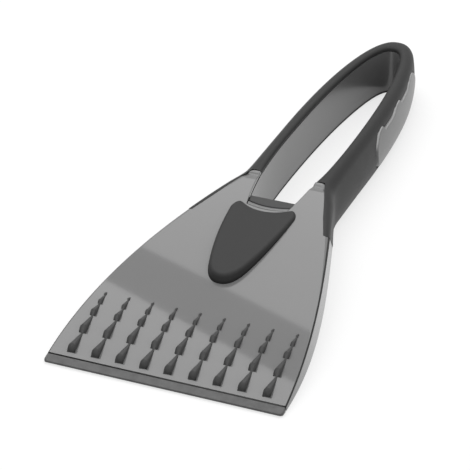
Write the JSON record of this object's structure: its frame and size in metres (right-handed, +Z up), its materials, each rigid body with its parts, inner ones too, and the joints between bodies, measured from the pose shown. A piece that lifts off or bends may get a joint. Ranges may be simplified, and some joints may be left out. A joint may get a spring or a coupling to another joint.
{
  "type": "ice scraper",
  "caption": "Hand ice scraper: arched hard plate with a blade strip and rows of wedge teeth, a raised thumb pad, and a loop handle with a soft grip and scalloped finger panels.",
  "frame": {"origin": "middle of the bounding box in plan, on the plane that the scraper lies on", "axes": "+Y runs along the scraper from the scraping edge to the back of the handle, +X across the blade, +Z up out of the plane it lies on"},
  "size_m": [0.0976, 0.274, 0.024],
  "materials": {
    "shell_gloss": "gloss",
    "blade_satin": "satin",
    "tooth_dark": "satin",
    "soft_dark": "matte",
    "bridge_dark": "matte",
    "panel_grey": "satin"
  },
  "bodies": {
    "root": {"scraper_shell": "shell_gloss", "blade_strip": "blade_satin", "ice_breaker_row_1": "tooth_dark", "ice_breaker_row_2": "tooth_dark", "ice_breaker_row_3": "tooth_dark", "ice_breaker_row_4": "tooth_dark", "ice_breaker_row_5": "tooth_dark", "ice_breaker_row_6": "tooth_dark", "ice_breaker_row_7": "tooth_dark", "ice_breaker_row_8": "tooth_dark", "ice_breaker_row_9": "tooth_dark", "thumb_pad": "soft_dark", "handle_core": "shell_gloss", "loop_bridge": "bridge_dark", "handle_grip": "soft_dark", "finger_grip_right": "panel_grey", "finger_grip_left": "panel_grey"}
  },
  "joints": []
}
